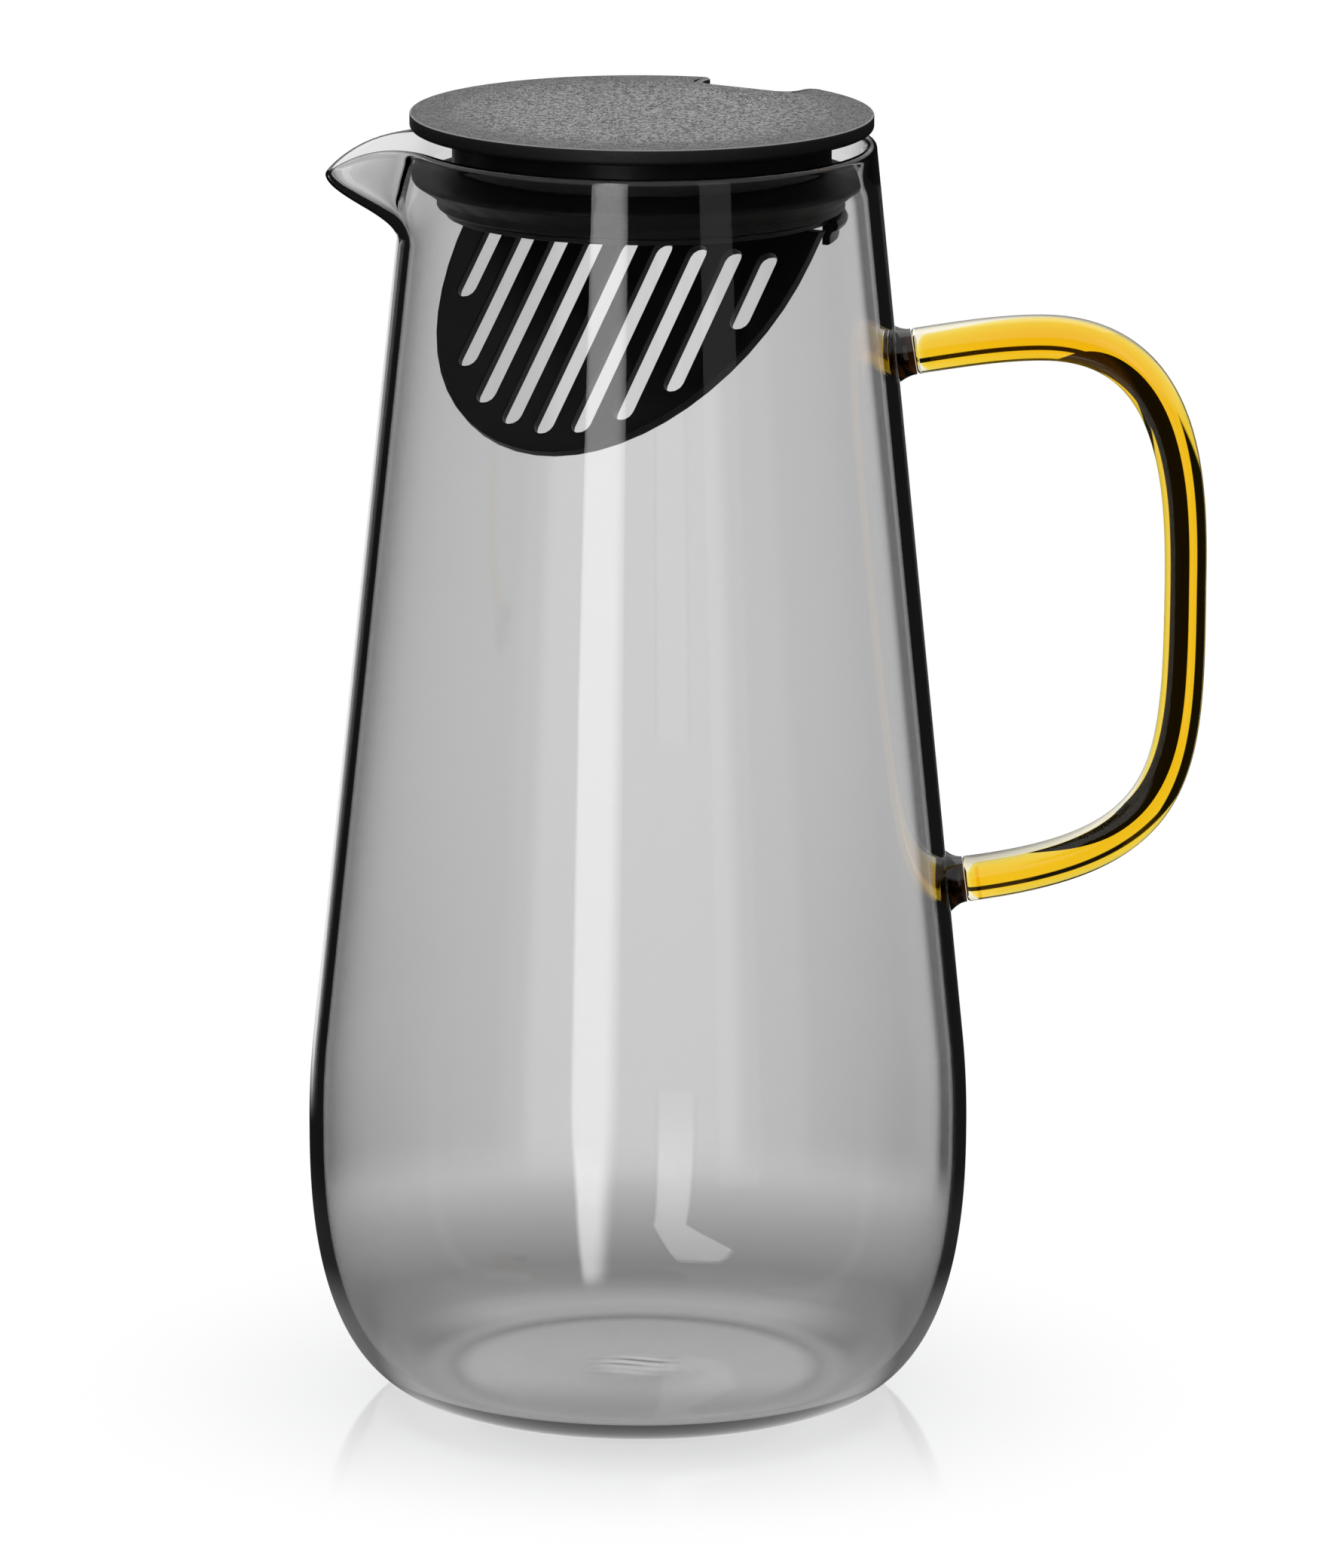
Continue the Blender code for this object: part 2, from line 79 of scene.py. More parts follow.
class Wire:
    # A socket that can be added, multiplied and so on, each of which adds a Math node
    def __init__(self, tree, socket=None):
        self.tree = tree
        self.socket = socket

    def node(self, kind, settings=None, inputs=None, output=0):
        made = self.tree.nodes.new(kind)
        for key, value in (settings or {}).items():
            if key == "stops":
                ramp = made.color_ramp.elements
                while len(ramp) < len(value):
                    ramp.new(1)
                for element, (place, colour) in zip(ramp, value):
                    element.position = place
                    element.color = (*colour, 1)
            else:
                setattr(made, key, value)
        for key, value in (inputs or {}).items():
            if isinstance(value, Wire):
                self.tree.links.new(value.socket, made.inputs[key])
            else:
                made.inputs[key].default_value = value
        return Wire(self.tree, made.outputs[output] if len(made.outputs) else None)

    def math(self, operation, *values):
        return self.node("ShaderNodeMath", {"operation": operation}, dict(enumerate(values)))

    def __add__(self, other):
        return self.math("ADD", self, other)

    def __sub__(self, other):
        return self.math("SUBTRACT", self, other)

    def __rsub__(self, other):
        return self.math("SUBTRACT", other, self)

    def __mul__(self, other):
        return self.math("MULTIPLY", self, other)

    def __gt__(self, other):
        return self.math("GREATER_THAN", self, other)

    __radd__ = __add__
    __rmul__ = __mul__

    def size(self):
        return self.math("ABSOLUTE", self)

    def between(self, low, high):
        # 0 up to the first value and 1 from the second, with an eased climb between them
        settings = {"interpolation_type": "SMOOTHSTEP"}
        inputs = {"Value": self, "From Min": low, "From Max": high, "To Min": 0, "To Max": 1}
        return self.node("ShaderNodeMapRange", settings, inputs)

    def step(self, edge, soft):
        # 0 below the edge and 1 above it
        return self.between(edge - soft, edge + soft)

    def band(self, low, high, soft):
        # 1 between two values and 0 outside
        return self.step(low, soft) - self.step(high, soft)

    def noise(self, scale, detail):
        return self.node("ShaderNodeTexNoise", None, {"Vector": self, "Scale": scale, "Detail": detail})

    def parts(self):
        # The three numbers of a vector
        made = self.node("ShaderNodeSeparateXYZ", None, {0: self}).socket.node
        return [Wire(self.tree, output) for output in made.outputs]

    def length(self):
        return self.node("ShaderNodeVectorMath", {"operation": "LENGTH"}, {0: self}, "Value")

    def colours(self, low, high):
        # A mix of two colours by this value, each a link or three numbers
        first, second = (end if isinstance(end, Wire) else (*end, 1) for end in (low, high))
        return self.node("ShaderNodeMix", {"data_type": "RGBA"}, {0: self, 6: first, 7: second}, 2)


def newMaterial(name):
    material = bpy.data.materials.new(name)
    material.use_nodes = True
    material.node_tree.nodes.clear()
    return material, Wire(material.node_tree)


def finishMaterial(wires, shader, volume=None):
    inputs = {"Surface": shader}
    if volume:
        inputs["Volume"] = volume
    wires.node("ShaderNodeOutputMaterial", None, inputs)


def objectPlace(wires):
    return wires.node("ShaderNodeTexCoord", None, None, "Object")


def bumpFrom(wires, height, distance):
    return wires.node("ShaderNodeBump", None, {"Height": height, "Distance": distance, "Strength": 1})


def nothing(wires):
    # Lets everything through unbent
    return wires.node("ShaderNodeBsdfTransparent", None, {"Color": (1, 1, 1, 1)})


def tinted(wires, tone, density):
    # Glass coloured through its thickness
    return wires.node("ShaderNodeVolumeAbsorption", None, {"Color": (*tone, 1), "Density": density})


glassIndex = 1.47

smokeFinish = {
    "tone": (0.34, 0.34, 0.345),
    "density": 133,
    "waveScale": 28,
    "waveStretch": (1, 1, 0.12),
    "waveDepth": 0.00012,
}

# The outer glass of the rod and its ends: almost clear, with a breath of amber
casingFinish = {
    "tone": (0.87, 0.74, 0.18),
    "density": 60,
    "waveScale": 60,
    "waveStretch": (1, 1, 1),
    "waveDepth": 0.0001,
}

# Body glass that the rod's amber has run into
weldFinish = {
    "tone": (0.48, 0.33, 0.08),
    "density": 900,
    "waveScale": 240,
    "waveStretch": (1, 1, 1),
    "waveDepth": 0.0002,
}


def blownGlass(name, finish):
    material, wires = newMaterial(name)
    mapping = {"Vector": objectPlace(wires), "Scale": finish["waveStretch"]}
    wave = wires.node("ShaderNodeMapping", None, mapping).noise(finish["waveScale"], 1)
    inputs = {
        "Base Color": (1, 1, 1, 1),
        "Roughness": 0,
        "IOR": glassIndex,
        "Transmission Weight": 1,
        "Normal": bumpFrom(wires, wave, finish["waveDepth"]),
    }
    shader = wires.node("ShaderNodeBsdfPrincipled", None, inputs)
    finishMaterial(wires, shader, tinted(wires, finish["tone"], finish["density"]))
    return material


coreFinish = {"tone": (0.9975, 0.885, 0.02), "density": 800}


def amberCore():
    # The amber inside the rod. It bends no light, because the casing is the same glass without the colour.
    material, wires = newMaterial("amberCore")
    finishMaterial(wires, nothing(wires), tinted(wires, coreFinish["tone"], coreFinish["density"]))
    return material


capFinishAndPaintedLight = {
    "side": (0.003, 0.003, 0.0032),
    "dark": (0.008, 0.008, 0.0082),
    # light: painted sheen, the grey that the grain's specks on the upper face are painted
    "light": (0.31, 0.31, 0.313),
    # edge: painted highlight, the grey that the rounded top edge is painted, over the band that edgeSlope
    # gives
    "edge": (0.32, 0.32, 0.324),
    "edgeSlope": (0.55, 0.93, 0.08),  # how far the rounded edge looks up, from and to, and its softness
    "faceSlope": (0.75, 0.2),
    "roughness": 0.5,
    "speckRoughness": 0.1,
    "shine": 0.3,
    "grainScale": 2300,
    "grainShare": 0.75,
    "coarseRatio": 3,
    "coarseShare": 0.25,
    "grainSoftness": 0.08,
    "grainDepth": 0.00005,
    # shadeRadius and shade: painted shade, the upper face is painted darker from the first radius out to the
    # second
    "shadeRadius": (0.022, 0.044),
    "shade": 0.5,
}


def sparkedPlasticPaintedLight():
    # Black moulding with a fine spark-eroded grain on its upper face, whose specks are painted grey there as
    # painted sheen.
    # That face is painted darker towards its rim as painted shade, and its rounded top edge is a painted
    # highlight.
    s = capFinishAndPaintedLight
    material, wires = newMaterial("sparkedPlasticPaintedLight")
    place = objectPlace(wires)
    grain = place.noise(s["grainScale"], 2)
    coarse = place.noise(s["grainScale"] / s["coarseRatio"], 1)
    speck = (grain * s["grainShare"] + coarse * s["coarseShare"]).step(0.5, s["grainSoftness"])
    upward = wires.node("ShaderNodeTexCoord", None, None, "Normal").parts()[2]
    facing = upward.step(*s["faceSlope"])
    flat = wires.node("ShaderNodeVectorMath", {"operation": "MULTIPLY"}, {0: place, 1: (1, 1, 0)})
    # painted shade: the upper face darkens towards its rim
    lit = facing * (1 - flat.length().between(*s["shadeRadius"]) * s["shade"])
    # painted sheen: on the upper face the specks are painted light grey, and the side keeps its black
    face = lit.colours(s["side"], speck.colours(s["dark"], s["light"]))
    inputs = {
        # painted highlight along the rounded top edge
        "Base Color": upward.band(*s["edgeSlope"]).colours(face, s["edge"]),
        "Roughness": speck * s["speckRoughness"] + s["roughness"],
        "Specular IOR Level": s["shine"],
        "Normal": bumpFrom(wires, grain * facing, s["grainDepth"]),
    }
    finishMaterial(wires, wires.node("ShaderNodeBsdfPrincipled", None, inputs))
    return material


# Scale and detail of the clouds in a black's tone and gloss, and of its grain
plugFinish = {
    "dark": (0.003, 0.003, 0.0032),
    "light": (0.006, 0.006, 0.0064),
    "cloud": (220, 3),
    "roughness": 0.3,
    "cloudRoughness": 0.16,
    "shine": 0.14,
    "grain": (1800, 1),
    "grainDepth": 0.00002,
}

rubberFinish = {
    "dark": (0.003, 0.003, 0.0032),
    "light": (0.006, 0.006, 0.0064),
    "cloud": (120, 2),
    "roughness": 0.36,
    "cloudRoughness": 0.2,
    "shine": 0.12,
    "grain": (120, 2),
    "grainDepth": 0.00003,
}


def satinBlack(name, finish):
    material, wires = newMaterial(name)
    place = objectPlace(wires)
    cloud = place.noise(*finish["cloud"])
    inputs = {
        "Base Color": cloud.colours(finish["dark"], finish["light"]),
        "Roughness": cloud * finish["cloudRoughness"] + finish["roughness"],
        "Specular IOR Level": finish["shine"],
        "Normal": bumpFrom(wires, place.noise(*finish["grain"]), finish["grainDepth"]),
    }
    finishMaterial(wires, wires.node("ShaderNodeBsdfPrincipled", None, inputs))
    return material


def addMesh(name, points, faces, material, body, node, angle):
    # A closed piece from its points and faces, with its normals turned outward
    mesh = bpy.data.meshes.new(name)
    mesh.from_pydata([tuple(point) for point in points], [], faces)
    mesh.validate()
    piece = bpy.data.objects.new(name, mesh)
    bpy.context.scene.collection.objects.link(piece)
    mesh.shade_smooth()
    mesh.set_sharp_from_angle(angle=math.radians(angle))
    mesh.materials.append(material)
    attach(piece, body)
    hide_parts(node)
    print("made", name, len(mesh.polygons), "faces")
    work = bmesh.new()
    work.from_mesh(mesh)
    bmesh.ops.recalc_face_normals(work, faces=work.faces)
    work.to_mesh(mesh)
    work.free()
    return piece


def joinRings(ringCount, sides, flip=False):
    # Faces between neighbouring rings of points, ring by ring
    faces = []
    for row in range(ringCount - 1):
        for side in range(sides):
            a = row * sides + side
            b = row * sides + (side + 1) % sides
            face = (a, b, b + sides, a + sides)
            faces.append(face[::-1] if flip else face)
    return faces


def closeRings(ringCount, sides):
    # The same with a flat face over the first ring and over the last
    last = ringCount * sides - 1
    ends = [tuple(range(sides)), tuple(last - side for side in range(sides))]
    return joinRings(ringCount, sides) + ends


def flattened(rings):
    return [point for ring in rings for point in ring]


jug = {
    "rimHeight": 0.2445,
    "rimRadius": 0.0446,
    "bellyHeight": 0.053,
    "bellyRadius": 0.0636,
    "bellyBlend": 0.017,
    "footRadius": 0.0365,
    "heelPower": 2.5,
    "wall": 0.0026,
    "floor": 0.0036,
    "rimWall": 0.0021,
    "rimThinning": 0.008,
    "lipWall": 0.0016,
    "spoutHeight": 0.019,
    "spoutReach": 0.0155,
    "spoutDip": 0.0063,
    "spoutHalfAngle": 11.8,
    "spoutDipHalfAngle": 7.6,
    "swellHeight": 0.0003,
    "swellRadius": 0.0200,
    "knobHeight": 0.00006,
    "knobReach": (0.0130, 0.0055),
    "curlHeight": 0.00006,
    "curlPitch": 0.0040,
    "curlBend": 0.0016,
    "curlPhase": 3,  # radians that the bend runs through from the knob's middle to its end
    "floorReach": 1.6,  # in floor thicknesses: below it the inside takes the swell and the knob
    "crowding": 0.45,  # of the meridians towards the spout
    "meridians": 200,
    "spoutRows": 36,
    "coneRows": 40,
    "bellyRows": 12,
    "heelRows": 44,
    "footRows": 26,
    "knobRows": 30,
    "rimSteps": 8,
    "innermost": 0.0004,
    "sharpAngle": 180,
}


def coneSlope():
    fall = jug["rimHeight"] - jug["bellyHeight"] - jug["bellyBlend"] / 2
    return (jug["bellyRadius"] - jug["rimRadius"]) / fall


def wallRadius(height):
    blendTop = jug["bellyHeight"] + jug["bellyBlend"]
    if height >= blendTop:
        return jug["rimRadius"] + coneSlope() * (jug["rimHeight"] - height)
    if height >= jug["bellyHeight"]:
        bend = coneSlope() / (2 * jug["bellyBlend"])
        return jug["bellyRadius"] - bend * (height - jug["bellyHeight"]) ** 2
    fall = 1 - height / jug["bellyHeight"]
    power = jug["heelPower"]
    return jug["footRadius"] + (jug["bellyRadius"] - jug["footRadius"]) * (1 - fall ** power) ** (1 / power)


def ease(share):
    share = np.clip(share, 0, 1)
    return share * share * (3 - 2 * share)


def lobe(angle, halfAngle):
    # 1 at the spout's middle, falling off to both sides
    return np.exp(-(angle / math.radians(halfAngle)) ** 2)


def jugRows():
    # (radius, height) from just under the rim down the outside to the centre of the foot
    top = jug["rimHeight"] - jug["rimWall"] / 2
    spoutFoot = jug["rimHeight"] - jug["spoutHeight"]
    blendTop = jug["bellyHeight"] + jug["bellyBlend"]
    heights = list(np.linspace(top, spoutFoot, jug["spoutRows"]))
    heights += list(np.linspace(spoutFoot, blendTop, jug["coneRows"]))[1:]
    heights += list(np.linspace(blendTop, jug["bellyHeight"], jug["bellyRows"]))[1:]
    turns = np.linspace(0, math.pi / 2, jug["heelRows"])[1:]
    heights += [jug["bellyHeight"] * (1 - math.sin(turn) ** (2 / jug["heelPower"])) for turn in turns]
    rows = [(wallRadius(max(height, 0)), max(height, 0)) for height in heights]
    knob = max(jug["knobReach"])
    flat = list(np.linspace(jug["footRadius"], knob, jug["footRows"]))[1:]
    flat += list(np.linspace(knob, jug["innermost"], jug["knobRows"]))[1:]
    return rows + [(radius, 0) for radius in flat]


def glassWall(height, angle):
    rise = ease((height - jug["rimHeight"] + jug["rimThinning"]) / jug["rimThinning"])
    draw = ease((height - jug["rimHeight"] + jug["spoutHeight"]) / jug["spoutHeight"])
    thickness = jug["wall"] + (jug["rimWall"] - jug["wall"]) * rise
    lip = draw * lobe(angle, jug["spoutHalfAngle"])
    thickness = thickness + (jug["lipWall"] - thickness) * lip
    return thickness + (jug["floor"] - jug["wall"]) * ease(1 - height / (2 * jug["wall"]))


def floorRelief(x, y):
    # The floor swells towards the blower's mark in its middle, a low long knob with a curl pressed into it
    swell = jug["swellHeight"] * ease(1 - np.hypot(x, y) / jug["swellRadius"])
    knob = ease(1 - np.hypot(x / jug["knobReach"][0], y / jug["knobReach"][1]))
    across = y + jug["curlBend"] * np.sin(x / jug["knobReach"][0] * jug["curlPhase"])
    curl = jug["curlHeight"] * np.sin(2 * math.pi * across / jug["curlPitch"])
    return swell + knob * (jug["knobHeight"] + curl)


def outerSkin():
    # The outside as rows of points from under the rim down, the same rows without the spout, and the wall
    rows = np.array(jugRows())
    count = jug["meridians"]
    spread = np.arange(count) * 2 * math.pi / count - math.pi
    angle = spread - jug["crowding"] * np.sin(spread)
    radius = np.repeat(rows[:, :1], count, axis=1)
    height = np.repeat(rows[:, 1:], count, axis=1)
    share = np.clip((height - jug["rimHeight"] + jug["spoutHeight"]) / jug["spoutHeight"], 0, 1)
    radius = radius + jug["spoutReach"] * ease(share) * lobe(angle, jug["spoutHalfAngle"])
    drop = jug["spoutDip"] * share * lobe(angle, jug["spoutDipHalfAngle"])
    outer = np.stack([-radius * np.cos(angle), radius * np.sin(angle), height - drop], axis=2)
    return outer, rows, glassWall(height, angle)


def buildJug(material):
    outer, rows, thickness = outerSkin()
    count = jug["meridians"]
    down = np.gradient(outer, axis=0)
    along = (np.roll(outer, -1, axis=1) - np.roll(outer, 1, axis=1)) / 2
    normal = np.cross(along, down)
    normal /= np.linalg.norm(normal, axis=2, keepdims=True)
    if (normal[0] * outer[0]).sum() < 0:
        normal = -normal
    normal[rows[:, 1] <= 0] = (0, 0, -1)  # the foot is flat
    inner = outer - normal * thickness[:, :, None]
    flat = inner[:, :, 2] < jug["floor"] * jug["floorReach"]
    inner[:, :, 2] += np.where(flat, floorRelief(inner[:, :, 0], inner[:, :, 1]), 0)
    rim = []
    middle = (outer[0] + inner[0]) / 2
    upward = -down[0] / np.linalg.norm(down[0], axis=1, keepdims=True)
    half = thickness[0][:, None] / 2
    for i in range(1, jug["rimSteps"]):
        turn = math.pi * i / jug["rimSteps"]
        rim.append(middle + normal[0] * half * math.cos(turn) + upward * half * math.sin(turn))
    rings = list(outer[::-1]) + rim + list(inner)
    points = flattened(rings)
    faces = joinRings(len(rings), count, flip=True)
    under = len(points)
    points += [(0, 0, 0), (0, 0, jug["floor"] + floorRelief(0, 0))]
    last = (len(rings) - 1) * count
    for side in range(count):
        after = (side + 1) % count
        faces.append((under, side, after))
        faces.append((under + 1, last + after, last + side))
    return addMesh("jugBody", points, faces, material, "jug", "glass_body", jug["sharpAngle"])


rod = {
    "upperHeight": 0.2035,
    "lowerHeight": 0.1003,
    "upperAngle": 9.5,
    "lowerAngle": 7.5,
    "reach": 0.0556,
    "sideHeight": 0.1587,
    "crestOut": 0.0276,
    "crestRise": 0.0033,
    "radius": 0.0040,
    "endRadius": 0.0044,
    "upperBend": (0.0078, 0.0078),
    "outerBend": (0.0272, 0.0197),
    "lowerBend": (0.0373, 0.0417),
    "seat": 0.00326,
    "sides": 64,
    "stepsPerBend": 56,
    "roundSteps": 4,
    "sharpAngle": 50,
    # shares of the rod's radius, at the ends and along the middle, and how far the ends are drawn in
    "casing": {"shares": (1, 1), "inset": 0, "drop": 0, "rounding": 0.0007},
    "core": {"shares": (0.56, 0.71), "inset": 0.0007, "drop": 0.0005, "rounding": 0.0022},
}


def offWall(height, angle, distance):
    turn = math.radians(angle)
    return Vector((wallRadius(height) + distance * math.cos(turn), 0, height + distance * math.sin(turn)))


def rodPath():
    # (place, radius) along the bent rod, from its upper end to its lower end
    s = rod
    start = offWall(s["upperHeight"], s["upperAngle"], s["seat"])
    startEnd = offWall(s["upperHeight"], s["upperAngle"], s["seat"] + s["upperBend"][0])
    foot = offWall(s["lowerHeight"], s["lowerAngle"], s["seat"])
    footEnd = offWall(s["lowerHeight"], s["lowerAngle"], s["seat"] + s["lowerBend"][1])
    wall = wallRadius(s["upperHeight"])
    crest = Vector((wall + s["crestOut"], 0, s["upperHeight"] + s["crestRise"]))
    side = Vector((wall + s["reach"], 0, s["sideHeight"]))
    out = Vector((1, 0, 0))
    up = Vector((0, 0, 1))
    topPull, sidePull = s["outerBend"]
    bends = [
        (start, startEnd, crest - out * s["upperBend"][1], crest, s["endRadius"], s["endRadius"]),
        (crest, crest + out * topPull, side + up * sidePull, side, s["endRadius"], s["radius"]),
        (side, side - up * s["lowerBend"][0], footEnd, foot, s["radius"], s["endRadius"]),
    ]
    path = []
    for a, b, c, d, near, far in bends:
        for i in range(s["stepsPerBend"] + (bends[-1][3] is d)):
            t = i / s["stepsPerBend"]
            place = a * (1 - t) ** 3 + b * 3 * t * (1 - t) ** 2 + c * 3 * t * t * (1 - t) + d * t ** 3
            path.append((place, near + (far - near) * t))
    return path


def trimmedPath(inset):
    # The rod's path with both its ends drawn in by a distance, one after the other
    path = rodPath()
    for _ in range(2):
        path.reverse()
        end = path[0][0]
        while (path[1][0] - end).length <= inset:
            path.pop(1)
        path[0] = (end + (path[1][0] - end).normalized() * inset, path[0][1])
    return path


def shapedPath(form):
    # The path of the casing or of the core in it, with its own radius at each place
    path = trimmedPath(form["inset"])
    end = len(path) - 1
    first, second = form["shares"]
    shaped = []
    for i, (place, radius) in enumerate(path):
        thirds = 3 * min(i, end - i) / end  # the share changes over the first and the last third
        share = first + (second - first) * float(ease(thirds))
        shaped.append((place - Vector((0, 0, form["drop"])), radius * share))
    return shaped


def buildRod(name, material, form):
    # A bent round bar with a small round corner at each end
    s = rod
    path = shapedPath(form)
    rounding = form["rounding"]
    across = Vector((0, 1, 0))
    rings = []
    last = len(path) - 1
    for i, (place, radius) in enumerate(path):
        along = (path[min(i + 1, last)][0] - path[max(i - 1, 0)][0]).normalized()
        away = along.cross(across).normalized()
        cuts = []
        if i in (0, last):
            inward = along if i == 0 else -along
            for k in range(s["roundSteps"] + 1):
                turn = math.pi / 2 * k / s["roundSteps"]
                lost = rounding * (1 - math.sin(turn))
                cuts.append((place + inward * rounding * (1 - math.cos(turn)), radius - lost))
            if i == last:
                cuts.reverse()
        else:
            cuts.append((place, radius))
        for middle, size in cuts:
            ring = []
            for side in range(s["sides"]):
                turn = 2 * math.pi * side / s["sides"]
                ring.append(middle + (away * math.cos(turn) + across * math.sin(turn)) * size)
            rings.append(ring)
    faces = closeRings(len(rings), s["sides"])
    return addMesh(name, flattened(rings), faces, material, "jug", "handle", s["sharpAngle"])


weld = {
    "length": 0.0032,
    "gap": 0.00006,
    "upperRadius": 0.0054,
    "lowerRadius": 0.0059,
    "sides": 56,
    "steps": 10,
    "frontShares": (0.3, 0.6, 0.9),  # of the radius, for the rings in the two end faces
    "wallShares": (0.9, 0.7, 0.5, 0.3),
    "searchReach": 0.01,
    "searchSteps": 40,
    "sharpAngle": 45,
}


def wallHit(start, direction):
    # How far a line runs before it meets the wall, kept clear of it by the gap
    near, far = -weld["searchReach"], weld["searchReach"]
    for _ in range(weld["searchSteps"]):
        middle = (near + far) / 2
        place = start - direction * middle
        if math.hypot(place.x, place.y) > wallRadius(place.z) + weld["gap"]:
            near = middle
        else:
            far = middle
    return near


def buildWeld(name, node, height, angle, wallEnd, material):
    turn = math.radians(angle)
    outward = Vector((math.cos(turn), 0, math.sin(turn)))
    upward = Vector((-math.sin(turn), 0, math.cos(turn)))
    across = Vector((0, 1, 0))
    base = Vector((wallRadius(height), 0, height))
    count = weld["sides"]
    rodEnd = rod["endRadius"]

    def ring(size, share):
        # a ring of a size, at a share of the way from the rod's end to the wall
        made = []
        for side in range(count):
            around = 2 * math.pi * side / count
            offset = (upward * math.cos(around) + across * math.sin(around)) * size
            start = base + offset + outward * weld["length"]
            made.append(start - outward * (wallHit(start, outward) * share))
        return made

    rings = [ring(rodEnd * size, 0) for size in weld["frontShares"]]
    for i in range(weld["steps"] + 1):
        share = i / weld["steps"]
        rings.append(ring(rodEnd + (wallEnd - rodEnd) * share ** 2, share))
    rings += [ring(wallEnd * size, 1) for size in weld["wallShares"]]
    faces = closeRings(len(rings), count)
    return addMesh(name, flattened(rings), faces, material, "jug", node, weld["sharpAngle"])


cap = {
    "turn": -33,
    "radius": 0.0441,
    "bottom": 0.2469,
    "thickness": 0.0031,
    "topRounding": 0.0004,
    "topMargin": 0.0006,
    "bottomRounding": 0.0009,
    "bottomMargin": 0.002,
    "dishBorder": 0.0075,
    "dishSlope": 0.0035,
    "dishDepth": 0.0006,
    "dishEnd": (0.55, 0.35),  # where the dish runs out before the notch, and over how much, in dish radii
    "dishEndWidth": 1.6,  # in half widths of the notch
    "notchWidth": 0.0215,
    "notchDepth": 0.0085,
    "notchCorner": 0.0035,
    "notchRounding": 0.0020,
    "notchDraft": 0.12,  # radians that the notch's sides open by
    "notchSteps": 8,
    "steps": 240,
    "bottomShares": (0.2, 0.4, 0.6),
    "bottomSteps": 5,
    "topSteps": 4,
    "topShares": (1, 0.98, 0.96, 0.94, 0.92, 0.9, 0.88, 0.86, 0.84, 0.82, 0.8, 0.78, 0.76, 0.74, 0.72, 0.68,
                  0.6, 0.5, 0.4, 0.3, 0.2, 0.1, 0.05),
    "sharpAngle": 50,
}


def arc(centre, radius, start, end, steps):
    turns = [start + (end - start) * i / steps for i in range(steps + 1)]
    return [(centre[0] + radius * math.cos(turn), centre[1] + radius * math.sin(turn)) for turn in turns]


def capOutline():
    # Plan outline of the cap, with the thumb notch at +Y: counter-clockwise from the notch's middle
    s = cap
    half = s["notchWidth"] / 2
    corner = (half - s["notchCorner"], s["radius"] - s["notchDepth"] + s["notchCorner"])
    right = arc(corner, s["notchCorner"], -math.pi / 2, -s["notchDraft"], s["notchSteps"])
    flareAcross = half + s["notchRounding"]
    flareAlong = math.sqrt((s["radius"] - s["notchRounding"]) ** 2 - flareAcross ** 2)
    outward = math.atan2(flareAlong, flareAcross)
    flare = (flareAcross, flareAlong)
    right += arc(flare, s["notchRounding"], math.pi - s["notchDraft"], outward, s["notchSteps"])
    side = right + arc((0, 0), s["radius"], outward, -math.pi / 2, s["steps"] // 2)[1:-1]
    start = [(0, s["radius"] - s["notchDepth"])]
    return start + side + [(0, -s["radius"])] + [(-x, y) for x, y in reversed(side)]


def insetOutline(outline, distance):
    moved = []
    count = len(outline)
    for i, (x, y) in enumerate(outline):
        before = outline[i - 1]
        after = outline[(i + 1) % count]
        dx, dy = after[0] - before[0], after[1] - before[1]
        length = math.hypot(dx, dy)
        moved.append((x + dy / length * distance, y - dx / length * distance))
    return moved


def dishAt(x, y):
    # How deep the top is dished at a place. The dish runs out before the notch.
    s = cap
    inner = s["radius"] - s["dishBorder"]
    ahead = ease((y - inner * s["dishEnd"][0]) / (inner * s["dishEnd"][1]))
    nearNotch = float(ahead * ease(s["dishEndWidth"] - abs(x) / (s["notchWidth"] / 2)))
    return s["dishDepth"] * float(ease((inner - math.hypot(x, y)) / s["dishSlope"])) * (1 - nearNotch)


def buildCap(material):
    s = cap
    top = s["bottom"] + s["thickness"]
    outline = capOutline()
    rings = [[(x * share, y * share, s["bottom"]) for x, y in outline] for share in s["bottomShares"]]

    def ring(inset, height):
        rings.append([(x, y, height) for x, y in insetOutline(outline, inset)])

    ring(s["bottomRounding"] + s["bottomMargin"], s["bottom"])
    for i in range(s["bottomSteps"] + 1):
        t = math.pi / 2 * i / s["bottomSteps"]
        ring(s["bottomRounding"] * (1 - math.sin(t)), s["bottom"] + s["bottomRounding"] * (1 - math.cos(t)))
    for i in range(s["topSteps"] + 1):
        t = math.pi / 2 * i / s["topSteps"]
        ring(s["topRounding"] * (1 - math.cos(t)), top - s["topRounding"] * (1 - math.sin(t)))
    ring(s["topRounding"] + s["topMargin"], top)
    edge = insetOutline(outline, s["topRounding"] + 2 * s["topMargin"])
    for share in s["topShares"]:
        rings.append([(x * share, y * share, top - dishAt(x * share, y * share)) for x, y in edge])
    turn = Matrix.Rotation(math.radians(s["turn"]), 3, "Z")
    points = [turn @ Vector(point) for point in flattened(rings)]
    faces = closeRings(len(rings), len(outline))
    return addMesh("lidCap", points, faces, material, "lid", "lid_cap", s["sharpAngle"])


# Metres and degrees. Facets that meet at less than the flat angle are joined into one face.
moulding = {
    "joinDistance": 0.000002,
    "flatAngle": 0.5,
    "sharpAngle": 35,
    "edgeSegments": 2,
    "edges": {"lidPlug": 0.00015, "strainerPlate": 0.0002, "sealRing": 0.00015},
}


